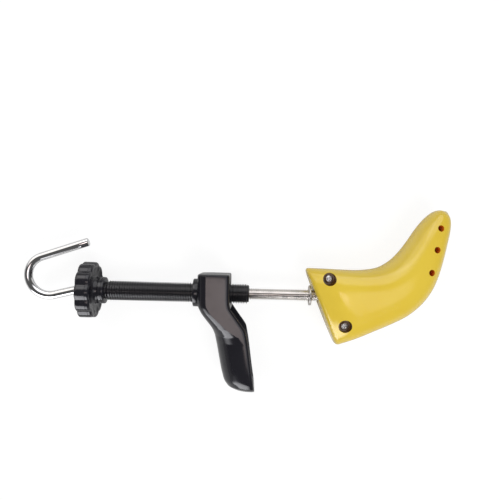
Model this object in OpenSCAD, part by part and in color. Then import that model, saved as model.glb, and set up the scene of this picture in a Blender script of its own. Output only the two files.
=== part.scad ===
// Two-way shoe stretcher with a split toe last and a screw-driven heel piece.
// It lies on its side: X runs along the rod towards the toe, Y is the way the toe turns up,
// Z is the width of the last. All sizes are millimetres.

/* [Hook handle] */
// Thickness of the chromed hook wire
wire_d = 6; // [4:0.5:7]
// Radius of the small bend just behind the knob
hook_dip_r = 24; // [12:1:40]
// Angle by which the wire dips there
hook_dip_a = 14; // [5:1:25]
// Straight length between the small and the large bend
hook_dip_len = 14; // [5:1:30]
// Radius of the first part of the large bend
hook_low_r = 15.5; // [10:0.5:25]
// Angle of the first part of the large bend
hook_low_a = 83; // [60:1:100]
// Radius of the second part of the large bend
hook_top_r = 13.5; // [8:0.5:25]
// Angle of the second part of the large bend
hook_top_a = 92; // [70:1:110]
// Length of the straight arm at the hook's end
hook_arm_len = 35; // [15:1:50]

/* [Threaded rod] */
// Outer diameter of the steel rod
rod_d = 8; // [7:0.5:9]
// Pitch of the rod's thread
rod_pitch = 1.25; // [1:0.05:1.5]
// How far the rod reaches into the last, from its rear face
rod_in_last = 64; // [58:1:70]
// Diameter of the wire's spigot inside the rod's end
spigot_d = 4; // [3:0.25:4.5]
// Length of that spigot
spigot_len = 12; // [8:1:20]
// Diameter of the cross pin through the spigot
cross_pin_d = 1.6; // [1:0.2:2]
// Width of a retaining clip's groove on the rod
clip_t = 0.8; // [0.6:0.1:1.2]
// Outer diameter of a retaining clip
clip_d = 12; // [10:0.5:14]

/* [Length screw and knob] */
// Outer diameter of the black length screw
screw_d = 14; // [12.5:0.5:16]
// Pitch of the length screw's thread
screw_pitch = 1.8; // [1.4:0.1:2.5]
// Depth of the length screw's thread
screw_thread_h = 1; // [0.4:0.05:1.2]
// Length of the threaded stretch of the screw
screw_len = 102; // [80:1:130]
// Bore of the hollow screw
screw_bore_d = 9; // [8.6:0.1:9.6]
// Diameter of the knob over its lobes
knob_d = 40.4; // [34:0.2:48]
// Width of the knob's rim
knob_w = 10.4; // [8:0.2:14]
// Number of lobes round the knob
knob_lobes = 11; // [6:1:14]
// Radius of one lobe's face
lobe_r = 6.8; // [5:0.1:7.5]
// Diameter of the knob's hub
hub_d = 19; // [17:0.5:22]
// Length of the hub in front of the rim
hub_len = 6.8; // [4:0.2:10]
// Diameter of the screw's plain end inside the knob
shank_d = 12; // [11:0.25:13]
// Length of the screw's plain end inside the knob
shank_len = 9; // [6:0.5:12]
// Outer diameter of the guide bush's sleeve
bush_d = 9.5; // [8.6:0.1:10.5]
// Diameter of the guide bush's flange
bush_flange_d = 13; // [11.5:0.5:15]
// Thickness of the guide bush's flange
bush_flange_t = 1.2; // [0.8:0.1:2]

/* [Heel piece] */
// Width of the heel piece
heel_w = 40; // [32:1:44]
// Height of the heel block above the rod's axis
heel_top = 14; // [12:0.5:18]
// Height of the block below the rod's axis
heel_block_low = 8; // [7:0.5:12]
// Length of the heel block along the rod
heel_block_len = 22.4; // [18:0.2:28]
// How far the foot reaches below the rod's axis
heel_drop = 67; // [58:1:80]
// How far the foot's top stands in front of the block
heel_lean = 12; // [8:0.5:16]
// How far the foot leans forward over its own length
foot_lean = 7; // [3:0.5:10]
// Depth of the foot along the rod
foot_depth = 23.5; // [18:0.5:28]
// Wall of the heel shell
heel_wall = 2.6; // [2:0.1:4]
// Diameter of the threaded heel nut's sleeve
nut_d = 17; // [16:0.25:19]
// Diameter of the heel nut's flange
nut_flange_d = 20; // [19:0.5:24]
// Thickness of the heel nut's flange
nut_flange_t = 4; // [2.5:0.25:6]

/* [Last] */
// Rounding of the last's rear edge
last_edge_r = 3; // [2:0.25:4]
// Gap between the closed halves
split_gap = 0.3; // [0.2:0.05:0.5]
// Diameter of the holes for pressure plugs
plug_d = 4.5; // [3.5:0.25:6]
// Depth of the plug holes, measured from their highest rim
plug_depth = 13; // [8:0.5:13]
// Diameter of the deep recesses over the closing screws
recess_d = 9; // [8:0.25:10]
// Diameter of the recesses for the closing springs
spring_recess_d = 10; // [9.4:0.1:10.6]
// Height of the upper closing screw's seat above the split
seat_upper = 9.6; // [4:0.2:10]
// Height of the lower closing screw's seat above the split
seat_lower = 11; // [4:0.2:12]
// Thickness of the spring's ledge
spring_ledge = 2.4; // [2.4:0.1:4]

/* [Spreading mechanism] */
// Length of the spreader wedge
wedge_len = 16; // [12:0.5:18]
// Width of the spreader wedge
wedge_w = 17; // [16:0.5:20]
// Half height of the wedge at its thin rear end
wedge_thin = 5.8; // [5.4:0.1:7]
// Slope of the wedge's faces
wedge_a = 14; // [10:0.5:16]
// Number of turns of the hook that open the last fully
open_turns = 8.25; // [4.25:1:8.25]
// Length of the rod's bearing block
bearing_len = 8; // [6:0.5:9]
// Width and height of the bearing block
bearing_w = 18; // [16:0.5:19]
// Diameter of the hinge pin at the toe
hinge_d = 3; // [2:0.25:3.5]
// Length of the hinge pin
hinge_len = 10.4; // [9:0.2:12]
// Outer diameter of the hinge knuckles
knuckle_d = 6.4; // [5.5:0.1:7]
// Diameter of the closing screws
bolt_d = 3; // [2.5:0.25:3.5]
// Head diameter of the closing screws
bolt_head_d = 6; // [5.5:0.1:6.5]
// Wire of the closing springs
spring_wire = 0.5; // [0.4:0.05:0.8]
// Outer diameter of the closing springs
spring_od = 6; // [5.4:0.1:6.6]
// Length of the upper closing spring with the last closed
spring_len_upper = 10.6; // [10.2:0.1:10.8]
// Length of the lower closing spring with the last closed
spring_len_lower = 12.2; // [11.8:0.1:12.4]
// Number of coils in a closing spring
spring_coils = 4; // [3:1:5]

/* [Washer] */
// Diameter of the loose thrust washer
washer_d = 14.4; // [13:0.2:18]
// Thickness of the loose thrust washer
washer_t = 1.5; // [1:0.1:2.5]

/* [Hidden] */
$fn = 64;

run_fit = 0.05;      // radial clearance of a shaft that turns or slides in its hole
seat_fit = 0.02;     // radial clearance of two pieces fixed together
clear = 0.3;         // gap between pieces that only lie close together
eps = 0.5;           // how far a cut runs past the face it opens
tall = knob_d;       // height of a cut that runs out through the side of the last

// Where things stand along the rod. X is 0 at the middle of the last's rear end.
washer_x = -0.6 - washer_t;                  // rear face of the washer
screw_end_x = -45;                           // front end of the length screw
screw_start_x = screw_end_x - screw_len;     // where its thread begins, just in front of the hub
hub_front_x = screw_start_x - 1;
rim_front_x = hub_front_x - hub_len;
knob_rear_x = rim_front_x - knob_w;
bend_x = knob_rear_x - 0.4;                  // where the hook starts to bend
slide_max = washer_x - clear - screw_end_x;  // free travel of the screw along the rod
bush_front_x = hub_front_x - shank_len - clear;
rod_rear_x = bush_front_x + slide_max + 1.5; // the rod's end stays clear of the bush
heel_front_x = screw_end_x - 13.6;           // front face of the heel block
heel_back_x = heel_front_x - heel_block_len;
bearing_x = 19;                              // rear face of the bearing block
wedge_x = 46;                                // thin rear end of the wedge, last closed
wedge_travel = open_turns * rod_pitch;
end_clip_x = rod_in_last - 1.6;

// The last, section by section from the rear face to the toe. Each row holds the point on the
// upper edge, the point on the lower edge and half the width across.
last_rows = [
    [-5.5, 19.8, 17.5, -35.4, 13.2],
    [8.0, 19.5, 30.0, -30.4, 18.4],
    [22.0, 19.1, 43.0, -24.6, 19.7],
    [35.0, 19.2, 56.0, -18.8, 20.2],
    [47.0, 21.2, 67.0, -13.0, 20.2],
    [56.0, 26.3, 76.5, -5.2, 20.0],
    [63.0, 33.3, 83.5, 3.8, 19.3],
    [69.0, 41.5, 88.0, 13.5, 18.2],
    [74.5, 50.0, 91.5, 25.0, 16.8],
    [80.0, 57.0, 94.2, 36.5, 15.0],
    [85.0, 61.5, 96.6, 47.5, 12.6],
    [89.0, 63.4, 97.2, 55.0, 9.4],
    [93.2, 63.0, 96.2, 60.0, 4.5]];
last_round = 2.5;    // power of the rounded section at the toe: 2 is an ellipse, more is squarer
last_square = 0.9;   // how much squarer the section gets round the closing screws
function power_at(s) = last_round + last_square * min(1, s / 1.5) * pow(max(0, 1 - s / 6), 1.5);
last_arc = 14;       // steps round half a section
bolt_at = [[10.6, 12.6], [22.0, -19.7]];          // upper and lower closing screw
head_seat = [seat_upper, seat_lower];
plug_at = [[87.0, 49.8, 14.95], [84.0, 34.7, 17.25], [80.2, 18.9, 18.59]];   // third: height of its rim
hinge_at = [90.6, 56.4];                          // middle of the hinge pin
hinge_dir = -55;                                  // its direction in the split plane
gap = split_gap / 2;

// The heel piece, level by level from the top down. Each row holds the height, the back, the
// front, half the width and the power of its rounded back.
foot_top = -heel_block_low - 16;
foot_front_x = heel_front_x + heel_lean;
foot_back_x = foot_front_x - foot_depth;
heel_rows = [
    [heel_top, heel_back_x + 1, heel_front_x - 0.6, heel_w / 2 - 1, 5],
    [heel_top - 1, heel_back_x, heel_front_x, heel_w / 2, 5],
    [-heel_block_low, heel_back_x + 0.3, heel_front_x + 0.3, heel_w / 2, 5],
    [-heel_block_low - 6, heel_back_x + 3.2, heel_front_x + 0.38 * heel_lean, heel_w / 2, 4.5],
    [foot_top, foot_back_x, foot_front_x, heel_w / 2, 3.2],
    [foot_top - 5, foot_back_x + 1.6, foot_front_x + 1.1, heel_w / 2, 2.5],
    [foot_top - 12, foot_back_x + 3, foot_front_x + 2.4, heel_w / 2, 2.2],
    [-heel_drop + 14, foot_back_x + foot_lean - 0.6, foot_front_x + foot_lean - 2.2, heel_w / 2, 2.2],
    [-heel_drop + 6, foot_back_x + foot_lean + 1.6, foot_front_x + foot_lean - 0.9, heel_w / 2 - 0.5, 2.2],
    [-heel_drop + 2, foot_back_x + foot_lean + 4.4, foot_front_x + foot_lean - 0.2, heel_w / 2 - 2.4, 2.2],
    [-heel_drop, foot_back_x + foot_lean + 8.2, foot_front_x + foot_lean, heel_w / 2 - 6, 2.2]];
heel_arc = 16;

// The hook's wire behind the knob: [0, length] is straight, [radius, angle] is a bend.
hook_path = [[hook_dip_r, hook_dip_a], [0, hook_dip_len], [hook_low_r, -hook_low_a],
    [hook_top_r, -hook_top_a], [0, hook_arm_len]];

// Points on the wire's middle line, each with its heading
bend_steps = 9;
function turn(p, r, a) = let (s = sign(a)) [p[0] + s * r * (sin(p[2] + a) - sin(p[2])),
    p[1] - s * r * (cos(p[2] + a) - cos(p[2])), p[2] + a];
function walk(i, p) = i == len(hook_path) ? [p] :
    let (g = hook_path[i])
    g[0] == 0 ? concat([p], walk(i + 1, [p[0] + g[1] * cos(p[2]), p[1] + g[1] * sin(p[2]), p[2]])) :
    concat([for (k = [0 : bend_steps - 1]) turn(p, g[0], g[1] * k / bend_steps)],
        walk(i + 1, turn(p, g[0], g[1])));
hook_points = walk(0, [bend_x, 0, 180]);

// The frame's origin lies under the middle of the whole object, on the surface it rests on.
x_low = min([for (p = hook_points) p[0]]) - wire_d / 2;
x_high = max([for (r = last_rows) r[2]]);
y_low = -heel_drop;
y_high = max([for (r = last_rows) r[1]]);
axis_z = max(knob_d / 2, max([for (s = [0 : 0.5 : len(last_rows) - 1]) row_at(s)[4]]));

module place() {
    translate([-(x_low + x_high) / 2, -(y_low + y_high) / 2, axis_z]) children();
}

// A cylinder along X from x to x + l
module rod_x(x, l, d) {
    translate([x, 0, 0]) rotate([0, 90, 0]) cylinder(d = d, h = l);
}

// A ring along X
module ring_x(x, l, d, hole) {
    difference() {
        rod_x(x, l, d);
        rod_x(x - eps, l + 2 * eps, hole);
    }
}

// A row of thread ridges along X from x to x + l, turned as one profile
module ridges_x(x, l, d, pitch, h, bore = 0) {
    n = floor(l / pitch);
    low = d / 2 - h;
    flat = (l - n * pitch) / 2;
    edge = concat([[low, 0], [low, flat]],
        [for (i = [0 : n - 1]) each [
            [d / 2, flat + (i + 0.35) * pitch], [d / 2, flat + (i + 0.5) * pitch],
            [low, flat + (i + 0.85) * pitch], [low, flat + (i + 1) * pitch]]],
        [[low, l]]);
    translate([x, 0, 0]) rotate([0, 90, 0]) rotate_extrude()
        polygon(concat([[bore / 2, 0]], edge, [[bore / 2, l]]));
}

// A ring of the bent wire round the point p, f times as wide as the wire
wire_sides = 16;
function wire_ring(p, f) = [for (k = [0 : wire_sides - 1])
    let (a = 360 * k / wire_sides, r = f * (wire_d / 2 - 0.02))
    [p[0] - sin(p[2]) * r * cos(a), p[1] + cos(p[2]) * r * cos(a), r * sin(a)]];

// A closed solid through rings of equal length, capped flat at both ends
module skin(rings) {
    m = len(rings[0]);
    n = len(rings);
    polyhedron(points = [for (r = rings) each r],
        faces = concat(
            [[for (k = [0 : m - 1]) k]],
            [for (i = [0 : n - 2], k = [0 : m - 1]) let (a = i * m + k, b = i * m + (k + 1) % m) [a, a + m, b]],
            [for (i = [0 : n - 2], k = [0 : m - 1]) let (a = i * m + k, b = i * m + (k + 1) % m) [b, a + m, b + m]],
            [[for (k = [m - 1 : -1 : 0]) (n - 1) * m + k]]));
}

module hook_handle() {
    color("silver") place() difference() {
        union() {
            rod_x(bend_x, rod_rear_x - bend_x, wire_d);
            tip = hook_points[len(hook_points) - 1];
            skin(concat([for (p = hook_points) wire_ring(p, 1)],
                [wire_ring([tip[0] + 0.7 * cos(tip[2]), tip[1] + 0.7 * sin(tip[2]), tip[2]], 0.8)]));
            rod_x(rod_rear_x - eps, spigot_len + eps, spigot_d);
        }
        cross_hole();
    }
}

// The hole for the cross pin that locks the hook in the rod
cross_x = rod_rear_x + spigot_len / 2;
module cross_hole() {
    translate([cross_x, 0, -rod_d]) cylinder(d = cross_pin_d + 2 * seat_fit, h = 2 * rod_d, $fn = 32);
}

thread_h = 0.6134 * rod_pitch;
rod_core_d = rod_d - 0.2;
clip_hole_d = rod_d - 1.2;
function clip_places() = [bearing_x - clip_t - 0.1, bearing_x + bearing_len + 0.1, end_clip_x];

module threaded_rod() {
    shown_x = screw_end_x - 4;
    shown_len = -1 - shown_x;
    color("lightsteelblue") place() difference() {
        union() {
            rod_x(rod_rear_x, shown_x - rod_rear_x, rod_core_d);
            ridges_x(shown_x, shown_len, rod_d, rod_pitch, thread_h);
            rod_x(shown_x + shown_len, rod_in_last - shown_x - shown_len, rod_d);
        }
        rod_x(rod_rear_x - eps, spigot_len + 0.5 + eps, spigot_d + 2 * seat_fit);
        cross_hole();
        for (x = clip_places()) ring_x(x - 0.02, clip_t + 0.04, rod_d + 2, clip_hole_d);
    }
}

module handle_pin() {
    color("gray") place() translate([cross_x, 0, -rod_core_d / 2 + 0.2])
        cylinder(d = cross_pin_d, h = rod_core_d - 0.4, $fn = 32);
}

// A retaining clip: a ring with a gap, sprung into the rod's groove
module clip(x) {
    color("dimgray") place() difference() {
        ring_x(x, clip_t, clip_d, clip_hole_d + 2 * seat_fit);
        translate([x - eps, -clip_hole_d * 0.36, -clip_d]) cube([clip_t + 2 * eps, clip_hole_d * 0.72, clip_d]);
    }
}

module bearing_clip_rear() { clip(clip_places()[0]); }
module bearing_clip_front() { clip(clip_places()[1]); }
module rod_end_clip() { clip(clip_places()[2]); }

// The knob's outline: round lobes side by side
module lobed(d) {
    circle(d = d - lobe_r);
    for (i = [0 : knob_lobes - 1]) rotate((i + 0.8) * 360 / knob_lobes)
        translate([d / 2 - lobe_r, 0]) circle(r = lobe_r, $fn = 48);
}

module knob() {
    color("#26262a") place() difference() {
        union() {
            translate([knob_rear_x, 0, 0]) rotate([90, 0, 90]) {
                linear_extrude(1) lobed(knob_d - 1.2);
                translate([0, 0, 1]) linear_extrude(knob_w - 2) lobed(knob_d);
                translate([0, 0, knob_w - 1]) linear_extrude(1) lobed(knob_d - 1.2);
            }
            rod_x(rim_front_x, hub_len, hub_d);
        }
        rod_x(knob_rear_x - eps, knob_w + hub_len + 2 * eps, bush_d + 2 * run_fit);
        rod_x(knob_rear_x - eps, bush_flange_t + clear + eps, bush_flange_d + 0.4);
        rod_x(hub_front_x - shank_len - 0.1, shank_len + eps + 0.1, shank_d + 2 * seat_fit);
        for (f = [0.38, 0.72]) ring_x(rim_front_x + f * hub_len, 0.5, hub_d + 2, hub_d - 0.8);
    }
}

module length_screw() {
    color("#2c2c30") place() {
        ridges_x(screw_start_x, screw_len - 1, screw_d, screw_pitch, screw_thread_h, screw_bore_d);
        ring_x(screw_end_x - 1, 1, screw_d - 2 * screw_thread_h, screw_bore_d);
        ring_x(hub_front_x, screw_start_x - hub_front_x, screw_d - 2 * screw_thread_h, screw_bore_d);
        ring_x(hub_front_x - shank_len, shank_len, shank_d, screw_bore_d);
    }
}

module guide_bush() {
    color("goldenrod") place() difference() {
        union() {
            rod_x(knob_rear_x + 0.1, bush_flange_t, bush_flange_d);
            rod_x(knob_rear_x + 0.1, bush_front_x - knob_rear_x - 0.1, bush_d);
        }
        rod_x(knob_rear_x - eps, knob_w + hub_len, wire_d + 2 * run_fit);
    }
}

// One level of the heel shell, drawn in by q, closed by its flat front
function heel_ring(row, q, front) = [for (k = [0 : heel_arc])
    let (a = 90 - 180 * k / heel_arc, c = pow(max(cos(a), 0), 2 / row[4]), s = pow(abs(sin(a)), 2 / row[4]))
    [row[2] + front - (row[2] + front - row[1] - q) * c, row[0], sign(a) * (row[3] - q) * s]];

// Levels between two rows, so that the slanted neck has a few steps of its own
function between(a, b, t) = a * (1 - t) + b * t;

module heel_piece() {
    hollow = [for (i = [2 : 8]) i == 2 ? between(heel_rows[2], heel_rows[3], 0.3) : heel_rows[i]];
    color("#222226") place() difference() {
        skin([for (r = heel_rows) heel_ring(r, 0, 0)]);
        skin([for (r = hollow) heel_ring(r, heel_wall, 1)]);
        rod_x(heel_back_x - 2, heel_block_len + 4, nut_d + 2 * seat_fit);
    }
}

module heel_nut() {
    color("#1d1d20") place() difference() {
        union() {
            rod_x(heel_back_x - nut_flange_t, nut_flange_t, nut_flange_d);
            rod_x(heel_back_x - eps, heel_block_len - 0.4 + eps, nut_d);
        }
        rod_x(heel_back_x - nut_flange_t - eps, heel_block_len + nut_flange_t + 2 * eps, screw_d + 2 * run_fit);
    }
}

module thrust_washer() {
    color("silver") place() ring_x(washer_x, washer_t, washer_d, rod_d + 2 * run_fit);
}

// The wedge that the rod draws between the halves
wedge_thick = wedge_thin + wedge_len * tan(wedge_a);
module spreader_wedge() {
    color("darkgray") place() difference() {
        translate([wedge_x, wedge_w / 2, 0]) rotate([90, 0, 0]) linear_extrude(wedge_w) polygon([
            [0, -wedge_thin], [wedge_len, -wedge_thick], [wedge_len, wedge_thick], [0, wedge_thin]]);
        rod_x(wedge_x - eps, wedge_len + 2 * eps, rod_d + 2 * run_fit);
    }
}

module rod_bearing() {
    color("darkgray") place() difference() {
        translate([bearing_x, -bearing_w / 2, -bearing_w / 2]) cube([bearing_len, bearing_w, bearing_w]);
        rod_x(bearing_x - eps, bearing_len + 2 * eps, rod_d + 2 * run_fit);
    }
}

// Along the hinge pin, with X of its own; z is the middle of the split
module at_hinge() {
    translate([hinge_at[0], hinge_at[1], 0]) rotate([0, 0, hinge_dir]) children();
}

module hinge_pin() {
    color("silver") place() at_hinge() rod_x(-hinge_len / 2, hinge_len, hinge_d);
}

// Smooth path through the rows of the last; s counts rows
function row_at(s) = let (n = len(last_rows) - 1, i = min(floor(s), n - 1), t = s - i,
    p1 = last_rows[i], p2 = last_rows[i + 1],
    p0 = i > 0 ? last_rows[i - 1] : 2 * p1 - p2,
    p3 = i < n - 1 ? last_rows[i + 2] : 2 * p2 - p1)
    0.5 * (2 * p1 + (p2 - p0) * t + (2 * p0 - 5 * p1 + 4 * p2 - p3) * t * t
        + (3 * p1 - p0 - 3 * p2 + p3) * t * t * t);

// Half a section of the last at s, drawn in by q, from the upper edge over the flank
function last_ring(s, q, arc, base) = let (r = row_at(s), mid = [r[0] + r[2], r[1] + r[3]] / 2,
    half = [r[0] - r[2], r[1] - r[3]] / 2, h = half * (1 - q / norm(half)), w = r[4] - q)
    [for (k = [0 : arc]) let (a = 180 * k / arc, n = power_at(s), c = sign(cos(a)) * pow(abs(cos(a)), 2 / n),
        u = pow(sin(a), 2 / n))
        [mid[0] + h[0] * c, mid[1] + h[1] * c, base + (w - base) * u]];

row_step = norm([last_rows[1][0] - last_rows[0][0], last_rows[1][1] - last_rows[0][1]]);
module last_outside() {
    edge = [for (a = [0 : 30 : 90]) [last_edge_r * (1 - cos(a)) / row_step, last_edge_r * (1 - sin(a))]];
    toe = len(last_rows) - 1;
    skin(concat([for (e = edge) last_ring(e[0], e[1], last_arc, gap)],
        [for (s = [0.5 : 0.5 : toe]) last_ring(s, 0, last_arc, gap)]));
}

// The pocket that the wedge travels in. Its sloped roof is what the wedge presses on.
pocket_fit = 0.6;
module wedge_pocket() {
    low_x = wedge_x - wedge_travel - 1;
    high_x = rod_in_last + 1.2;
    roof = function(x) wedge_thin + clear + (x - wedge_x) * tan(wedge_a);
    translate([0, wedge_w / 2 + pocket_fit, 0]) rotate([90, 0, 0])
        linear_extrude(wedge_w + 2 * pocket_fit) polygon([
            [low_x, -1], [high_x, -1], [high_x, roof(high_x)], [low_x, roof(low_x)]]);
}

// The pocket of the bearing block, with room for the retaining clip on each side of it
module bearing_pocket() {
    translate([bearing_x - pocket_fit, -bearing_w / 2 - pocket_fit, -1])
        cube([bearing_len + 2 * pocket_fit, bearing_w + 2 * pocket_fit, bearing_w / 2 + clear + 1]);
    rod_x(bearing_x - clip_t - 0.7, bearing_len + 2 * clip_t + 1.4, clip_d + 1.2);
}

// The knuckles of one half: 1 gives the two outer ones, 0 the middle one
knuckle_len = hinge_len / 3;
function knuckle_places(outer) = outer == 1 ? [-hinge_len / 2, hinge_len / 2 - knuckle_len + 0.2]
    : [-knuckle_len / 2 + 0.1];
module knuckles(outer, more) {
    at_hinge() for (x = knuckle_places(outer)) rod_x(x - more, knuckle_len - 0.2 + 2 * more, knuckle_d + 2 * more);
}

// One half of the last above the split plane; outer says which knuckles it has
module last_half(outer) {
    difference() {
        union() {
            difference() {
                last_outside();
                knuckles(1 - outer, clear);
                // relief past the hinge, so that the tip can open
                at_hinge() translate([-20, 0, gap - 1]) cube([40, 20, 1.35]);
            }
            knuckles(outer, 0);
        }
        at_hinge() rod_x(-hinge_len / 2 - 0.2, hinge_len + 0.4, hinge_d + 2 * run_fit);
        rod_x(-12, rod_in_last + 15, rod_d + 2.4);
        wedge_pocket();
        bearing_pocket();
        for (p = plug_at) translate([p[0], p[1], p[2] - plug_depth]) cylinder(d = plug_d, h = tall);
    }
}

module last_near() {
    color("#f2d64f") place() difference() {
        last_half(1);
        for (i = [0, 1]) translate([bolt_at[i][0], bolt_at[i][1], 0]) {
            translate([0, 0, head_seat[i]]) cylinder(d = recess_d, h = tall);
            translate([0, 0, -1]) cylinder(d = bolt_d + 0.4, h = tall, $fn = 32);
        }
    }
}

module last_far() {
    color("#f2d64f") place() mirror([0, 0, 1]) difference() {
        last_half(0);
        for (p = bolt_at) translate([p[0], p[1], 0]) {
            translate([0, 0, spring_ledge]) cylinder(d = spring_recess_d, h = tall);
            translate([0, 0, -1]) cylinder(d = bolt_d + 1.8, h = tall, $fn = 32);
        }
    }
}

// Levels on a closing screw below the split; i is 0 for the upper screw and 1 for the lower one
spring_len = [spring_len_upper, spring_len_lower];
spring_top = -spring_ledge - 0.05;
function spring_end(i) = spring_top - spring_len[i];
small_washer_t = 0.4;
small_nut_h = 1.8;
bolt_head_h = 2;
module at_bolt(i, z) {
    place() translate([bolt_at[i][0], bolt_at[i][1], z]) children();
}

module closing_screw(i) {
    color("silver") at_bolt(i, 0) difference() {
        low = spring_end(i) - small_washer_t - small_nut_h - 0.2;
        seat = head_seat[i] + 0.02;
        union() {
            translate([0, 0, seat]) cylinder(d = bolt_head_d, h = bolt_head_h * 0.6);
            translate([0, 0, seat + bolt_head_h * 0.6])
                cylinder(d1 = bolt_head_d, d2 = bolt_head_d * 0.62, h = bolt_head_h * 0.4);
            translate([0, 0, low]) cylinder(d = bolt_d, h = seat + 0.2 - low, $fn = 32);
        }
        for (a = [0, 90]) rotate(a) translate([-bolt_head_d * 0.3, -0.4, seat + 0.9])
            cube([bolt_head_d * 0.6, 0.8, 3]);
    }
}

module closing_nut(i) {
    color("silver") at_bolt(i, spring_end(i) - small_washer_t - small_nut_h - 0.04) difference() {
        cylinder(d = 6.35, h = small_nut_h, $fn = 6);
        translate([0, 0, -1]) cylinder(d = bolt_d + 2 * seat_fit, h = small_nut_h + 2, $fn = 32);
    }
}

module spring_washer(i) {
    color("silver") at_bolt(i, spring_end(i) - small_washer_t - 0.02) difference() {
        cylinder(d = spring_od + 0.2, h = small_washer_t);
        translate([0, 0, -1]) cylinder(d = bolt_d + 0.2, h = 3, $fn = 32);
    }
}

// A wound spring: one unbroken tube of six sides along a helix
spring_sides = 6;
spring_rings = 8;
function spring_pitch(i) = (spring_len[i] - spring_wire) / spring_coils;
function helix(i, t) = let (r = (spring_od - spring_wire) / 2)
    [r * cos(360 * t), r * sin(360 * t), spring_wire / 2 + spring_pitch(i) * t];
function tube_ring(i, t) = let (c = helix(i, t), out = [cos(360 * t), sin(360 * t), 0])
    [for (k = [0 : spring_sides - 1]) let (a = -360 * k / spring_sides)
        c + spring_wire / 2 * (cos(a) * out + [0, 0, sin(a)])];
module closing_spring(i) {
    color("silver") at_bolt(i, spring_end(i))
        skin([for (k = [0 : spring_coils * spring_rings]) tube_ring(i, k / spring_rings)]);
}

// Least distance between points of one spring that are half a coil or more apart, less the wire
function self_gap(i) = let (n = spring_coils * spring_rings, h = spring_rings / 2)
    min([for (j = [0 : n - h], k = [j + h : n]) norm(helix(i, j / spring_rings) - helix(i, k / spring_rings))])
    - spring_wire;
echo(least_gap_between_spring_coils = [self_gap(0), self_gap(1)]);

module closing_screw_upper() { closing_screw(0); }
module closing_screw_lower() { closing_screw(1); }
module closing_nut_upper() { closing_nut(0); }
module closing_nut_lower() { closing_nut(1); }
module spring_washer_upper() { spring_washer(0); }
module spring_washer_lower() { spring_washer(1); }
module closing_spring_upper() { closing_spring(0); }
module closing_spring_lower() { closing_spring(1); }

hook_handle();
threaded_rod();
handle_pin();
bearing_clip_rear();
bearing_clip_front();
rod_end_clip();
knob();
length_screw();
guide_bush();
heel_piece();
heel_nut();
thrust_washer();
spreader_wedge();
rod_bearing();
hinge_pin();
last_near();
last_far();
closing_screw_upper();
closing_screw_lower();
closing_nut_upper();
closing_nut_lower();
spring_washer_upper();
spring_washer_lower();
closing_spring_upper();
closing_spring_lower();
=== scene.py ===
import math
import bmesh
import bpy
import numpy as np
from mathutils import Matrix, Vector


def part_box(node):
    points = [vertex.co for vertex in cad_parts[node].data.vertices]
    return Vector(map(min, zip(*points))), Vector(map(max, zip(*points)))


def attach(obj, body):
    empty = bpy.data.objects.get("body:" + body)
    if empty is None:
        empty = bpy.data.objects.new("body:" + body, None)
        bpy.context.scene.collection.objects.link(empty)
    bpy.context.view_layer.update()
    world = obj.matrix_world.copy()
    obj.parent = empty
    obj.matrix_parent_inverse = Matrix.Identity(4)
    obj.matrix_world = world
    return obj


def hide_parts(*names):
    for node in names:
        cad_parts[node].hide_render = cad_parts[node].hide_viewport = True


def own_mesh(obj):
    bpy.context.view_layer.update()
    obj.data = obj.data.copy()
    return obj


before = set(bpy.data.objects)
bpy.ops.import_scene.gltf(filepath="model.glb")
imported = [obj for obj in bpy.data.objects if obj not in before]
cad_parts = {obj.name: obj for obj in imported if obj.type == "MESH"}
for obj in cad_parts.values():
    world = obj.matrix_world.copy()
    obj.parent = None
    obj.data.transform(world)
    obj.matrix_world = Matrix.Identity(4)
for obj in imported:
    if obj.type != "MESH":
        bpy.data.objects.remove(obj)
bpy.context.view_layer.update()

mm = 0.001
turn = 2 * math.pi
quarter = np.radians(range(0, 91, 10))      # a quarter turn in even steps, for rounded edges
print("stage: frame loaded,", len(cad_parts), "solids")

# places below are in millimetres from the rod's axis, with x at 0 in the middle of the last's rear end
rodFront = 64.0          # how far the rod reaches ahead of that
rodLow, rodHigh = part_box("threaded_rod")
axisY = (rodLow.y + rodHigh.y) / 2
axisZ = (rodLow.z + rodHigh.z) / 2
onAxis = Vector((rodHigh.x - rodFront * mm, axisY, axisZ))


def at(x, y, z=0.0):
    return Vector((x, y, z)) * mm + onAxis


# the camera stands where the photograph was taken from, straight above
cameraPlace = {"x": -45.1, "y": 31.55, "height": 381.6, "roll": 1.45, "focus": 530.0, "picture": 500,
               "sensor": 36}


def makeCamera(s):
    data = bpy.data.cameras.new("camera")
    data.sensor_width = s["sensor"]
    data.lens = s["focus"] / s["picture"] * s["sensor"]
    camera = bpy.data.objects.new("camera", data)
    camera.location = at(s["x"], s["y"], s["height"])
    camera.rotation_euler = (0, 0, math.radians(s["roll"]))
    bpy.context.scene.collection.objects.link(camera)
    bpy.context.scene.camera = camera


makeCamera(cameraPlace)
bpy.context.scene.view_settings.view_transform = "Standard"


# shader and geometry maths
class Value:
    def __init__(self, graph, socket):
        self.graph, self.socket = graph, socket

    def math(self, operation, *others, first=False):
        sides = [*others, self] if first else [self, *others]
        made = self.graph.node("ShaderNodeMath", {"operation": operation}, dict(enumerate(sides)))
        return Value(self.graph, made.outputs[0])

    def __add__(self, other):
        return self.math("ADD", other)

    def __radd__(self, other):
        return self.math("ADD", other)

    def __sub__(self, other):
        return self.math("SUBTRACT", other)

    def __rsub__(self, other):
        return self.math("SUBTRACT", other, first=True)

    def __mul__(self, other):
        return self.math("MULTIPLY", other)

    def __rmul__(self, other):
        return self.math("MULTIPLY", other)

    def __truediv__(self, other):
        return self.math("DIVIDE", other)

    def __pow__(self, other):
        return self.math("POWER", other)


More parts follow.
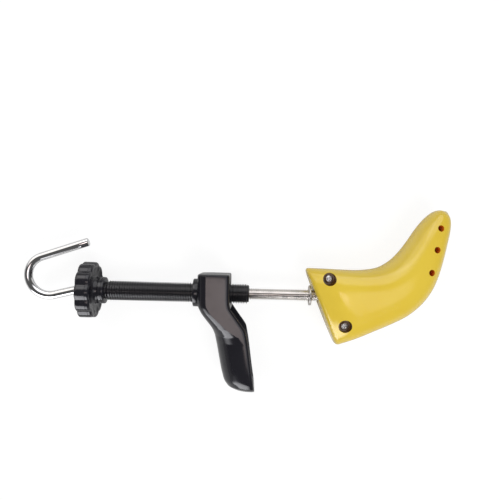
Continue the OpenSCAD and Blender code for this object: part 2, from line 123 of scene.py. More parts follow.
class Graph:
    def __init__(self, tree):
        self.tree = tree

    def node(self, kind, settings=None, sockets=None):
        made = self.tree.nodes.new(kind)
        for key, value in (settings or {}).items():
            setattr(made, key, value)
        for key, value in (sockets or {}).items():
            if isinstance(value, Value):
                self.tree.links.new(value.socket, made.inputs[key])
            else:
                made.inputs[key].default_value = value
        return made

    def value(self, kind, settings=None, sockets=None, out=0):
        return Value(self, self.node(kind, settings, sockets).outputs[out])

    def smooth(self, value, low, high):
        return self.value("ShaderNodeMapRange", {"interpolation_type": "SMOOTHSTEP"},
                          {"Value": value, "From Min": low, "From Max": high})


# finishes
class Finish(Graph):
    def __init__(self, name, settings):
        self.material = bpy.data.materials.new(name)
        self.material.use_nodes = True
        super().__init__(self.material.node_tree)
        self.shader = next(n for n in self.tree.nodes if n.type == "BSDF_PRINCIPLED")
        for key, value in settings.items():
            self.shader.inputs[key].default_value = value
        self.place = self.value("ShaderNodeTexCoord", out="Object")

    def noise(self, scale, detail):
        return self.value("ShaderNodeTexNoise", None, {
            "Vector": self.place, "Scale": scale, "Detail": detail}, out="Fac")

    def feed(self, name, value):
        self.tree.links.new(value.socket, self.shader.inputs[name])

    def mixed(self, mask, low, high):
        return self.value("ShaderNodeMix", {"data_type": "RGBA"}, {0: mask, 6: low, 7: high}, out=2)

    def bump(self, height, strength, distance):
        self.feed("Normal", self.value("ShaderNodeBump", None, {
            "Height": height, "Strength": strength, "Distance": distance}, out="Normal"))


# noise scales are in waves a metre; each pair is where a smooth step begins and ends
metalLook = {"cloud": 120.0, "cloudDetail": 4.0, "cloudStep": (0.35, 0.65), "grainDetail": 3.0,
             "fineGrain": 6, "fineDetail": 2.0, "bumpDepth": 0.0001}
mouldedLook = {"ior": 1.5, "coatRough": 0.05, "cloud": 28.0, "cloudDetail": 3.0, "cloudStep": (0.3, 0.7),
               "mottle": 90.0, "mottleDetail": 3.0, "mottleDepth": 0.06, "coatCloud": 160.0,
               "coatDetail": 2.0, "coatStep": (0.2, 0.5), "peel": 420.0, "peelDetail": 2.0,
               "bumpDepth": 0.0001}


def metalFinish(name, low, high, rough, spread, grain, grainDepth):
    s = metalLook
    made = Finish(name, {"Metallic": 1.0})
    cloud = made.smooth(made.noise(s["cloud"], s["cloudDetail"]), *s["cloudStep"])
    made.feed("Base Color", made.mixed(cloud, (*low, 1), (*high, 1)))
    made.feed("Roughness", rough + spread * made.noise(grain, s["grainDetail"]))
    made.bump(made.noise(grain * s["fineGrain"], s["fineDetail"]), grainDepth, s["bumpDepth"])
    return made.material


def mouldedFinish(name, colour, deeper, rough, peel, coat, level=0.5, hollow=()):
    s = mouldedLook
    made = Finish(name, {"IOR": s["ior"], "Coat Roughness": s["coatRough"], "Specular IOR Level": level})
    cloud = made.smooth(made.noise(s["cloud"], s["cloudDetail"]), *s["cloudStep"])
    shown = made.mixed(cloud, (*deeper, 1), (*colour, 1))
    if hollow:
        # deep holes get painted shade by the marked amount: dark brown in the screw recesses, and in the plug
        # holes a deeper orange that stands for bounced light
        depth = made.value("ShaderNodeAttribute", {"attribute_name": "paintedHoleShade"}, out="Fac")
        for start, shade in enumerate(hollow):
            share = made.smooth(depth, start / len(hollow), (start + 1) / len(hollow))
            shown = made.mixed(share, shown, (*shade, 1))
    made.feed("Base Color", shown)
    made.feed("Roughness", rough + s["mottleDepth"] * made.noise(s["mottle"], s["mottleDetail"]))
    made.feed("Coat Weight", coat * made.smooth(made.noise(s["coatCloud"], s["coatDetail"]), *s["coatStep"]))
    made.bump(made.noise(s["peel"], s["peelDetail"]), peel, s["bumpDepth"])
    return made.material


# metals: two colours, roughness and its spread, scale and depth of the grain
# plastics: two colours, roughness, depth of the orange peel, coat, gloss level, painted shade colours for
# deep holes
finishes = {
    "chrome": metalFinish("brightChrome", (0.84, 0.84, 0.85), (0.90, 0.90, 0.90), 0.03, 0.04, 60.0, 0.02),
    "rod_steel": metalFinish("rolledSteel", (0.68, 0.655, 0.63), (0.80, 0.77, 0.74), 0.16, 0.08, 60.0, 0.02),
    "zinc_steel": metalFinish("zincPlate", (0.50, 0.485, 0.47), (0.62, 0.60, 0.58), 0.28, 0.12, 120.0, 0.05),
    "bright_zinc": metalFinish("brightZinc", (0.88, 0.88, 0.87), (0.96, 0.96, 0.95), 0.34, 0.12, 160.0, 0.08),
    "spring_steel": metalFinish("springWire", (0.52, 0.51, 0.5), (0.62, 0.61, 0.6), 0.22, 0.10, 260.0, 0.06),
    "cast_zinc": metalFinish("castZinc", (0.50, 0.50, 0.51), (0.60, 0.60, 0.61), 0.42, 0.16, 240.0, 0.22),
    "black_plastic": mouldedFinish("glossyBlack", (0.0165, 0.016, 0.021), (0.013, 0.0125, 0.0165),
                                   0.10, 0.03, 0.15, 0.42),
    "black_screw": mouldedFinish("satinBlack", (0.016, 0.015, 0.018), (0.010, 0.010, 0.012),
                                 0.22, 0.03, 0.0, 0.65),
    "bush_plastic": mouldedFinish("bushBlack", (0.022, 0.022, 0.022), (0.016, 0.016, 0.016), 0.42, 0.08, 0.0),
    # the yellow's hole colours are painted: dark brown shade in the screw recesses, a deeper orange for
    # bounced light in the plug holes
    "yellow_plastic": mouldedFinish("glossyYellow", (0.880, 0.640, 0.066), (0.855, 0.605, 0.056),
                                    0.12, 0.03, 0.3, 0.5, ((0.17, 0.075, 0.014), (0.95, 0.36, 0.03))),
}
print("stage: finishes made,", len(finishes))


# mesh helpers
def meshObject(name, points, faces):
    mesh = bpy.data.meshes.new(name)
    mesh.from_pydata([tuple(p) for p in points], [], faces)
    mesh.validate()
    made = bpy.data.objects.new(name, mesh)
    bpy.context.scene.collection.objects.link(made)
    outward(made)
    return made


def outward(thing, merge=0.0):
    work = bmesh.new()
    work.from_mesh(thing.data)
    if merge:
        bmesh.ops.remove_doubles(work, verts=work.verts, dist=merge)
    bmesh.ops.recalc_face_normals(work, faces=work.faces)
    work.to_mesh(thing.data)
    work.free()


def loft(name, rings, loop=False):
    # rings are arrays of equal length; loop joins the last ring to the first
    count, sides = len(rings), len(rings[0])
    points = np.concatenate([np.asarray(r, float) for r in rings])
    faces = []
    for i in range(count if loop else count - 1):
        here, there = i * sides, (i + 1) % count * sides
        for k in range(sides):
            n = (k + 1) % sides
            faces.append((here + k, here + n, there + n, there + k))
    if not loop:
        faces.append(tuple(range(sides)))
        faces.append(tuple((count - 1) * sides + k for k in range(sides)))
    return meshObject(name, points, faces)


def turned(name, profile, sides=96, centre=None, along=(1, 0, 0)):
    # a profile of (distance along, radius), turned about a line
    closed = profile[0][1] > 0
    if not closed:
        profile = profile[1:-1]      # it begins and ends on the line, where flat caps close it
    axis = Vector(along).normalized()
    side = Vector((0, 1, 0)) if abs(axis.x) > 0.9 else axis.orthogonal().normalized()
    other = axis.cross(side)
    spokes = [side * math.cos(turn * k / sides) + other * math.sin(turn * k / sides) for k in range(sides)]
    start = onAxis if centre is None else centre
    rings = [[start + axis * x * mm + spoke * r * mm for spoke in spokes] for x, r in profile]
    return loft(name, rings, closed)


def cylinder(name, low, high, radius, sides=96, centre=None, along=(1, 0, 0)):
    return turned(name, [(low, 0), (low, radius), (high, radius), (high, 0)], sides, centre, along)


def block(name, low, high, put=at):
    corners = [(x, y, z) for x in (low[0], high[0]) for y in (low[1], high[1]) for z in (low[2], high[2])]
    faces = [(0, 1, 3, 2), (4, 6, 7, 5), (0, 4, 5, 1), (2, 3, 7, 6), (0, 2, 6, 4), (1, 5, 7, 3)]
    return meshObject(name, [put(*c) for c in corners], faces)


def applied(thing):
    # the evaluated mesh becomes the object's own and its modifiers go
    bpy.context.view_layer.update()
    graph = bpy.context.evaluated_depsgraph_get()
    mesh = bpy.data.meshes.new_from_object(thing.evaluated_get(graph))
    old = thing.data
    thing.modifiers.clear()
    thing.data = mesh
    bpy.data.meshes.remove(old)
    return thing


def carved(thing, cutters, operation="DIFFERENCE"):
    for cutter in cutters:
        step = thing.modifiers.new("cut", "BOOLEAN")
        step.operation, step.object, step.solver = operation, cutter, "EXACT"
        applied(thing)
        bpy.data.objects.remove(cutter)
    return thing


def finished(thing, nodes, body, slot, angle=32, look=None):
    mesh = thing.data
    mesh.materials.clear()
    mesh.materials.append(finishes[look or slot])
    mesh.polygons.foreach_set("use_smooth", [True] * len(mesh.polygons))
    mesh.set_sharp_from_angle(angle=math.radians(angle))
    mesh.update()
    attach(thing, body)
    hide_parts(*nodes)
    return thing


easing = {"merge": 1e-6, "flat": 0.5, "sharp": 35}      # metres, then degrees


def eased(name, node, body, slot, width, segments=2):
    # a CAD solid as one clean mesh with its hard edges rounded over
    work = bmesh.new()
    work.from_mesh(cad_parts[node].data)
    bmesh.ops.remove_doubles(work, verts=work.verts, dist=easing["merge"])
    flat = math.radians(easing["flat"])
    bmesh.ops.dissolve_limit(work, angle_limit=flat, verts=work.verts, edges=work.edges)
    mesh = bpy.data.meshes.new(name)
    work.to_mesh(mesh)
    work.free()
    made = bpy.data.objects.new(name, mesh)
    bpy.context.scene.collection.objects.link(made)
    outward(made)
    step = made.modifiers.new("ease", "BEVEL")
    step.width, step.segments = width * mm, segments
    step.limit_method, step.angle_limit = "ANGLE", math.radians(easing["sharp"])
    step.use_clamp_overlap = True
    applied(made)
    return finished(made, [node], body, slot)


def treeWith(name, inputs):
    # a Geometry Nodes tree with a geometry input and further named inputs
    tree = bpy.data.node_groups.new(name, "GeometryNodeTree")
    face = tree.interface
    face.new_socket("Geometry", in_out="INPUT", socket_type="NodeSocketGeometry")
    for label, kind in inputs.items():
        face.new_socket(label, in_out="INPUT", socket_type="NodeSocket" + kind)
    face.new_socket("Geometry", in_out="OUTPUT", socket_type="NodeSocketGeometry")
    graph = Graph(tree)
    given = graph.node("NodeGroupInput")
    return graph, {s.name: Value(graph, s) for s in given.outputs if s.name}


def closedTree(graph, geometry, finish):
    real = graph.value("GeometryNodeRealizeInstances", None, {0: geometry})
    coat = graph.value("GeometryNodeSetMaterial", None, {"Geometry": real, "Material": finish})
    graph.node("NodeGroupOutput", None, {0: coat})
    return graph.tree


def grown(thing, tree, values):
    # hands the named inputs to a Geometry Nodes modifier and keeps its result as a plain mesh
    step = thing.modifiers.new(tree.name, "NODES")
    step.node_group = tree
    for socket in tree.interface.items_tree:
        if socket.in_out == "INPUT" and socket.name in values:
            step[socket.identifier] = values[socket.name]
    return applied(thing)


# the length screw and the rod: threads by rule
def threadTree():
    floats = dict.fromkeys(("Pitch", "Depth", "Crest", "Flank", "Start", "End", "Fade", "Shell"), "Float")
    graph, said = treeWith("cutThread", {**floats, "Centre": "Vector", "Finish": "Material"})
    spot = graph.value("GeometryNodeInputPosition")
    away = graph.value("ShaderNodeVectorMath", {"operation": "SUBTRACT"}, {0: spot, 1: said["Centre"]})
    parts = graph.node("ShaderNodeSeparateXYZ", None, {0: away})
    x, y, z = (Value(graph, parts.outputs[i]) for i in range(3))
    radius = (y * y + z * z) ** 0.5
    angle = z.math("ARCTAN2", y) / turn
    phase = (x / said["Pitch"] - angle).math("FRACT")
    fromCrest = (phase - 0.5).math("ABSOLUTE") * 2
    low = graph.smooth(fromCrest, said["Crest"], said["Crest"] + said["Flank"])
    rise = graph.smooth(x, said["Start"], said["Start"] + said["Fade"])
    fall = 1 - graph.smooth(x, said["End"] - said["Fade"], said["End"])
    outer = radius.math("GREATER_THAN", said["Shell"])
    # full depth outside the thread as well, so that the core shows at both ends
    inset = said["Depth"] * outer * (1 - (1 - low) * rise * fall)
    move = graph.value("ShaderNodeCombineXYZ", None, {1: y / radius * inset * -1, 2: z / radius * inset * -1})
    place = graph.value("GeometryNodeSetPosition", None, {"Geometry": said["Geometry"], "Offset": move})
    return closedTree(graph, place, said["Finish"])


cutThread = threadTree()


def threaded(thing, s, start, end, finish):
    return grown(thing, cutThread, {
        "Pitch": s["pitch"] * mm, "Depth": s["depth"] * mm, "Crest": s["crest"], "Flank": s["flank"],
        "Start": start * mm, "End": end * mm, "Fade": s["fade"] * mm,
        "Shell": (s["outer"] / 2 - s["shell"]) * mm, "Centre": onAxis, "Finish": finishes[finish]})


# crest and flank are shares of half a pitch, and what lies deeper than the shell isn't cut
lengthScrewSizes = {"outer": 14.0, "depth": 1.0, "pitch": 1.8, "crest": 0.22, "flank": 0.50, "fade": 1.6,
                    "shell": 0.36, "start": -147.0, "end": -45.0, "runOut": 0.2, "hub": -148.0, "shank": 12.0,
                    "shankLength": 9.0, "bore": 9.0, "endFlat": 10.7, "edge": 0.3, "tipEdge": 0.35,
                    "samples": 14, "sides": 72, "shading": 50}


def makeLengthScrew(s):
    steps = int((s["end"] - s["start"]) / s["pitch"] * s["samples"])
    outer, shank, bore = s["outer"] / 2, s["shank"] / 2, s["bore"] / 2
    rear, start, end = s["hub"] - s["shankLength"], s["start"], s["end"]
    edge, tip = s["edge"], s["tipEdge"]
    profile = [(rear, bore), (rear, shank - edge), (rear + edge, shank), (s["hub"], outer)]
    profile += [(start + (end - tip - start) * i / steps, outer) for i in range(steps + 1)]
    profile += [(end, outer - tip), (end, s["endFlat"] / 2), (end, bore + edge), (end - edge, bore)]
    made = turned("lengthScrew", profile, s["sides"])
    threaded(made, s, start, end - s["runOut"], "black_screw")
    return finished(made, ["length_screw"], "length_screw", "black_screw", s["shading"])


rodSizes = {"outer": 8.0, "depth": 0.74, "pitch": 1.25, "crest": 0.30, "flank": 0.50, "fade": 1.0,
            "shell": 0.3, "rear": -113.2, "front": rodFront, "runOut": 0.8, "edge": 0.5, "rearEdge": 0.6,
            "spigot": 4.04, "spigotDepth": 12.5, "grooves": (18.1, 27.1, 62.4), "groove": 0.84,
            "grooveDiameter": 6.8, "grooveShift": 0.02, "grooveClear": (0.05, 0.03), "hair": 0.001,
            "samples": 10, "sides": 48, "shading": 50}
crossHoleSizes = {"fromRear": 6.0, "reach": 6.0, "radius": 0.82, "sides": 32}


def crossHole(s, rear):
    # for the pin that locks the hook in the rod
    return cylinder("crossHole", -s["reach"], s["reach"], s["radius"], s["sides"],
                    at(rear + s["fromRear"], 0), (0, 0, 1))


def makeRod(s):
    outer, core, spigot = s["outer"] / 2, s["grooveDiameter"] / 2, s["spigot"] / 2
    rear, front, edge = s["rear"], s["front"], s["edge"]
    steps = int((front - rear) / s["pitch"] * s["samples"])
    marks = [(rear + edge + (front - rear - 2 * edge) * i / steps, outer) for i in range(1, steps)]
    before, after = s["grooveClear"]
    for groove in s["grooves"]:
        # the walls stand a hair off square, so that the marks can be sorted
        marks = [m for m in marks if not groove - before < m[0] < groove + s["groove"] + after]
        near, far = groove - s["grooveShift"], groove + s["groove"] - s["grooveShift"]
        marks += [(near, outer - s["hair"]), (near + s["hair"], core), (far - s["hair"], core),
                  (far, outer - s["hair"])]
    profile = [(rear + s["spigotDepth"], 0), (rear + s["spigotDepth"], spigot), (rear, spigot),
               (rear, outer - s["rearEdge"]), (rear + edge, outer)]
    profile += sorted(marks)
    profile += [(front - edge, outer), (front, outer - edge), (front, 0)]
    made = turned("threadedRod", profile, s["sides"])
    threaded(made, s, rear + edge, front - s["runOut"], "rod_steel")
    carved(made, [crossHole(crossHoleSizes, rear)])
    return finished(made, ["threaded_rod"], "handle_rod", "rod_steel", s["shading"])


makeLengthScrew(lengthScrewSizes)
makeRod(rodSizes)
print("stage: threads cut")


# hook handle
hookSizes = {"wire": 6.0, "skin": 0.01, "bend": -165.6, "rear": rodSizes["rear"], "spigot": 4.0,
             "spigotLength": 12.0, "spigotEdge": 0.35, "seam": 0.02, "shoulder": 0.25, "sides": 40,
             "stepAngle": 2.5, "straightSteps": 4, "shading": 40,
             # (0, length) is a straight stretch and (radius, angle) a bend
             "path": ((24.0, 14.0), (0, 14.0), (15.5, -83.0), (13.5, -92.0), (0, 35.0)),
             # how far out and how much thinner the rounded free end is
             "tip": ((0.25, 0.04), (0.45, 0.16), (0.6, 0.34), (0.68, 0.6))}


def hookLine(s):
    # points and headings along the wire's middle
    x, y, heading = s["bend"], 0.0, math.pi
    line = [(x, y, heading)]
    for radius, amount in s["path"]:
        if radius == 0:
            for i in range(1, s["straightSteps"] + 1):
                gone = amount * i / s["straightSteps"]
                line.append((x + gone * math.cos(heading), y + gone * math.sin(heading), heading))
        else:
            reach, swing = math.copysign(radius, amount), math.radians(amount)
            count = math.ceil(abs(amount) / s["stepAngle"])
            for i in range(1, count + 1):
                now = heading + swing * i / count
                line.append((x + reach * (math.sin(now) - math.sin(heading)),
                             y - reach * (math.cos(now) - math.cos(heading)), now))
        x, y, heading = line[-1]
    return line


def makeHook(s):
    line = hookLine(s)
    radius, spigot, rear = s["wire"] / 2 - s["skin"], s["spigot"] / 2, s["rear"]
    end = rear + s["spigotLength"]
    stations = [(end, 0, math.pi, spigot - s["spigotEdge"]), (end - s["spigotEdge"], 0, math.pi, spigot),
                (rear + s["seam"], 0, math.pi, spigot), (rear, 0, math.pi, radius - s["shoulder"]),
                (rear - s["shoulder"], 0, math.pi, radius)]
    stations += [(x, y, h, radius) for x, y, h in line]
    x, y, h = line[-1]
    stations += [(x + out * math.cos(h), y + out * math.sin(h), h, radius - less) for out, less in s["tip"]]
    angles = [turn * k / s["sides"] for k in range(s["sides"])]
    rings = [[at(x - math.sin(h) * r * math.cos(a), y + math.cos(h) * r * math.cos(a), r * math.sin(a))
              for a in angles] for x, y, h, r in stations]
    made = loft("hookHandle", rings)
    carved(made, [crossHole(crossHoleSizes, rear)])
    return finished(made, ["hook_handle"], "handle_rod", "chrome", s["shading"])


makeHook(hookSizes)
print("stage: hook bent")


# knob
knobSizes = {"diameter": 40.4, "width": 10.4, "lobes": 11, "phase": 26.2, "lobeRadius": 6.8, "softening": 1.6,
             "taps": 24, "rear": -165.2, "hub": 19.0, "hubLength": 6.8, "bushBore": 9.6, "flangeBore": 13.4,
             "flangeDepth": 1.5, "shank": 12.04, "shankLength": 9.1, "boreEdge": 0.3, "edge": 1.5,
             "edgeSteps": 6, "sides": 480, "shading": 40,
             # each row: depth below the face, radius, and the share of the lobed outline that is added to it
             "rearFace": ((0, 8.6, 0), (0.25, 9.2, 0), (1, 10.4, 0), (1, 11.4, 0), (1, 11.7, 0),
                          (0.9, -5.2, 1), (0.5, -4.3, 1), (0.08, -3.2, 1), (0, -2.4, 1)),
             "frontFace": ((0, -2.6, 1), (0.25, -3.4, 1), (0.7, -4.6, 1), (0.9, 12.4, 0)),
             # the rim: from the rear face, about the mould's parting line, from the front face
             "rimRear": ((2.6, 0),), "rimFront": ((2.0, -0.08),), "parting": 2.2, "taper": 0.1,
             "partingLine": ((-0.16, 0), (-0.05, -0.12), (0.05, -0.12), (0.16, -0.02)),
             # the hub: its foot, two grooves round it at shares of its length, its end
             "hubFoot": ((0.9, 1.2), (0.7, 0.5), (0, 0)), "hubEnd": ((0.6, 0), (0.18, -0.18), (0, -0.6)),
             "grooves": (0.38, 0.72),
             "groove": ((-0.06, 0), (0, -0.1), (0.1, -0.4), (0.4, -0.4), (0.5, -0.1), (0.56, 0))}


def lobeOutline(s):
    # the rim's radius round the turn: round lobes, with narrow rounded grooves between them
    reach = s["diameter"] / 2 - s["lobeRadius"]
    around = np.arange(s["sides"]) * turn / s["sides"]
    part = turn / s["lobes"]
    off = (around - math.radians(s["phase"]) + part / 2) % part - part / 2
    radii = reach * np.cos(off) + np.sqrt(s["lobeRadius"] ** 2 - (reach * np.sin(off)) ** 2)
    taps, spread = s["taps"], math.radians(s["softening"])
    window = np.exp(-0.5 * ((np.arange(-taps, taps + 1) * turn / s["sides"]) / spread) ** 2)
    window /= window.sum()
    return np.convolve(np.concatenate([radii[-taps:], radii, radii[:taps]]), window, "valid")


def knobRows(s):
    # each row: distance along, radius, share of the lobed outline
    rear, front = s["rear"], s["rear"] + s["width"]
    hubFront, hub = front + s["hubLength"], s["hub"] / 2
    seat, flangeSeat = hubFront - s["shankLength"], rear + s["flangeDepth"]
    parting = (rear + front) / 2 + s["parting"]
    bush, flange, shank, ease = s["bushBore"] / 2, s["flangeBore"] / 2, s["shank"] / 2, s["boreEdge"]
    edge = [(s["edge"] * (1 - math.cos(a)), s["edge"] * (1 - math.sin(a)))
            for a in np.linspace(0, turn / 4, s["edgeSteps"] + 1)]
    rows = [(seat, bush, 0), (flangeSeat, bush, 0), (flangeSeat, flange, 0), (rear + ease, flange, 0),
            (rear, flange + ease, 0)]
    rows += [(rear + deep, r, share) for deep, r, share in s["rearFace"]]
    rows += [(rear + deep, -less, 1) for deep, less in edge]
    rows += [(rear + deep, r, 1) for deep, r in s["rimRear"]]
    rows += [(parting + x, r, 1) for x, r in s["partingLine"]]
    rows += [(front - deep, r, 1) for deep, r in s["rimFront"]]
    rows += [(front - deep, -s["taper"] - less, 1) for deep, less in reversed(edge)]
    rows += [(front - deep, r, share) for deep, r, share in s["frontFace"]]
    rows += [(front - deep, hub + r, 0) for deep, r in s["hubFoot"]]
    for share in s["grooves"]:
        rows += [(front + share * s["hubLength"] + x, hub + r, 0) for x, r in s["groove"]]
    rows += [(hubFront - deep, hub + r, 0) for deep, r in s["hubEnd"]]
    return rows + [(hubFront, shank + ease, 0), (hubFront - ease, shank, 0), (seat, shank, 0)]


def makeKnob(s):
    outline = lobeOutline(s)
    around = np.arange(s["sides"]) * turn / s["sides"]
    rings = []
    for x, r, share in knobRows(s):
        radii = outline * share + r
        rings.append([at(x, radius * math.cos(a), radius * math.sin(a)) for radius, a in zip(radii, around)])
    made = loft("lobedKnob", rings, True)
    return finished(made, ["knob"], "length_screw", "black_plastic", s["shading"])


makeKnob(knobSizes)
print("stage: knob moulded")


# heel piece
heelSizes = {"width": 40.0, "top": 14.0, "low": 8.0, "neck": 16.0, "length": 22.4, "drop": 67.0, "lean": 12.0,
             "footLean": 7.0, "depth": 23.5, "wall": 2.6, "front": -58.6, "nut": 17.04, "nutBeyond": 4.0,
             "edge": 2.2, "topEdge": 1.4, "topShare": 0.5, "topGap": 0.1, "firstLevel": 1.12,
             "outerLevels": 108, "innerLevels": 96, "shading": 14,
             "hollowTop": 0.3, "beyond": 1.0, "lip": 1.1, "lipReach": 1.0, "sides": 64, "mouthPoints": 120,
             # points along each stretch of a level: near edge, flat side, back corner, flat back
             "edgePoints": 8, "flatPoints": 6, "cornerPoints": 16, "backPoints": 3,
             "leastFlat": 0.6, "mostAcross": 0.9,
             # below the axis: along, across and sweep of the rounded back corner, which ends in a crease
             "corner": ((-14, 9.3, 7, 70), (8, 9.3, 7, 70), (14, 11, 9, 70), (24, 14, 12, 76),
                        (29, 19, 16, 84), (36, 22, 18, 88), (67, 22, 18, 88))}


def heelRows(s):
    # height, back, front, half width and the power of the hollow's curve, from the top down
    back, front, half = s["front"] - s["length"], s["front"], s["width"] / 2
    footTop = -s["low"] - s["neck"]
    footFront = front + s["lean"]
    footBack = footFront - s["depth"]
    lean = s["footLean"]
    return [
        [s["top"], back + 1, front - 0.6, half - 1, 5],
        [s["top"] - 1, back, front, half, 5],
        [-s["low"], back + 0.3, front + 0.3, half, 5],
        [-s["low"] - 6, back + 3.2, front + 0.38 * s["lean"], half, 4.5],
        [footTop, footBack, footFront, half, 3.2],
        [footTop - 5, footBack + 1.6, footFront + 1.1, half, 2.5],
        [footTop - 12, footBack + 3, footFront + 2.4, half, 2.2],
        [-s["drop"] + 14, footBack + lean - 0.6, footFront + lean - 2.2, half, 2.2],
        [-s["drop"] + 6, footBack + lean + 1.6, footFront + lean - 0.9, half - 0.5, 2.2],
        [-s["drop"] + 2, footBack + lean + 4.4, footFront + lean - 0.2, half - 2.4, 2.2],
        [-s["drop"], footBack + lean + 8.2, footFront + lean, half - 6, 2.2]]


blending = {"taps": 11, "reach": 0.4}


def blended(rows, s):
    # the row at place s, straight between rows, with the corners drawn round
    total = np.zeros(len(rows[0]))
    weights = np.hanning(blending["taps"] + 2)[1:-1]
    offsets = np.linspace(-blending["reach"], blending["reach"], blending["taps"])
    for off, weight in zip(offsets, weights / weights.sum()):
        u = min(max(s + off, 0), len(rows) - 1 - 1e-9)
        i = int(u)
        total += weight * (np.asarray(rows[i]) * (1 - u + i) + np.asarray(rows[i + 1]) * (u - i))
    return list(total)


def hollowRing(s, row, wall):
    # one level of the hollow, open at the front
    y, back, face, half, power = row
    mouth = face + s["beyond"]
    ring = []
    for k in range(s["sides"] + 1):
        a = turn / 4 - turn / 2 * k / s["sides"]
        deep, wide = max(math.cos(a), 0) ** (2 / power), abs(math.sin(a)) ** (2 / power)
        ring.append([mouth - (mouth - back - wall) * deep, y, math.copysign(1, a) * (half - wall) * wide])
    return np.asarray(ring, float)


def spread(ring, count):
    # the same open line with its points spread evenly, so that every level has as many
    along = np.concatenate([[0], np.cumsum(np.linalg.norm(np.diff(ring, axis=0), axis=1))])
    spots = np.linspace(0, along[-1], count)
    return [at(*p) for p in zip(*(np.interp(spots, along, ring[:, i]) for i in range(3)))]


def heelSection(s, row):
    # one level of the outside: flat near side, a crease, the rounded back corner, the flat back
    y, back, face, half = row[:4]
    edge = s["edge"]
    levels = [c[0] for c in s["corner"]]
    along, across, bend = (np.interp(-y, levels, [c[i] for c in s["corner"]]) for i in (1, 2, 3))
    sweep = math.radians(bend)
    along = min(along, (face - back - edge - s["leastFlat"]) / (1 - math.cos(sweep)))
    across = min(across, s["mostAcross"] * half / math.sin(sweep))
    near = []
    for k in range(s["edgePoints"] + 1):
        a = turn / 4 * k / s["edgePoints"]
        near.append((face - edge * (1 - math.cos(a)), half - edge * (1 - math.sin(a))))
    crease = back + along * (1 - math.cos(sweep))
    points = s["flatPoints"]
    near += [(face - edge + (crease - face + edge) * k / points, half) for k in range(1, points)]
    low = half - across * math.sin(sweep)
    for k in range(s["cornerPoints"] + 1):
        a = sweep * (1 - k / s["cornerPoints"])
        near.append((back + along * (1 - math.cos(a)), low + across * math.sin(a)))
    near += [(back, low * (1 - k / s["backPoints"])) for k in range(1, s["backPoints"] + 1)]
    return [at(x, y, z) for x, z in near] + [at(x, y, -z) for x, z in reversed(near[:-1])]


def heelOutside(s, rows):
    # the top edge is rounded over, then the levels go down smoothly
    outside = []
    back, face, half, power = rows[1][1:]
    for a in quarter:
        height, inset = s["top"] - s["topEdge"] * (1 - math.cos(a)), s["topEdge"] * (1 - math.sin(a))
        outside.append([height, back + inset, face - inset * s["topShare"], half - inset, power])
    for v in np.linspace(s["firstLevel"], len(rows) - 1, s["outerLevels"]):
        row = blended(rows[1:], v - 1)
        if row[0] < s["top"] - s["topEdge"] - s["topGap"]:
            outside.append(row)
    return outside + [rows[-1]]


def makeHeel(s):
    rows = heelRows(s)
    made = loft("heelPiece", [heelSection(s, r) for r in heelOutside(s, rows)])
    first = [high * (1 - s["hollowTop"]) + low * s["hollowTop"] for high, low in zip(rows[2], rows[3])]
    hollow = [first] + rows[3:9]
    inner = [blended(hollow, v) for v in np.linspace(0, len(hollow) - 1, s["innerLevels"])]
    cut = loft("heelHollow", [spread(hollowRing(s, r, s["wall"]), s["mouthPoints"]) for r in inner])
    # a shallow step all round the hollow's mouth makes the double lip
    inner[0][0] += s["lipReach"]
    inner[-1][0] -= s["lipReach"]
    lipRings = []
    for row in inner:
        ring = hollowRing(s, row, s["wall"] - s["lip"])
        ring[:, 0] = np.maximum(ring[:, 0], row[2] - s["lip"])
        lipRings.append(spread(ring, s["mouthPoints"]))
    rear, front = s["front"] - s["length"] - s["nutBeyond"], s["front"] + s["nutBeyond"]
    bore = cylinder("heelBore", rear, front, s["nut"] / 2)
    carved(made, [cut, loft("heelLip", lipRings), bore])
    return finished(made, ["heel_piece"], "heel", "black_plastic", s["shading"])


makeHeel(heelSizes)
eased("heelNut", "heel_nut", "heel", "black_plastic", 0.5, 3)
print("stage: heel piece moulded")


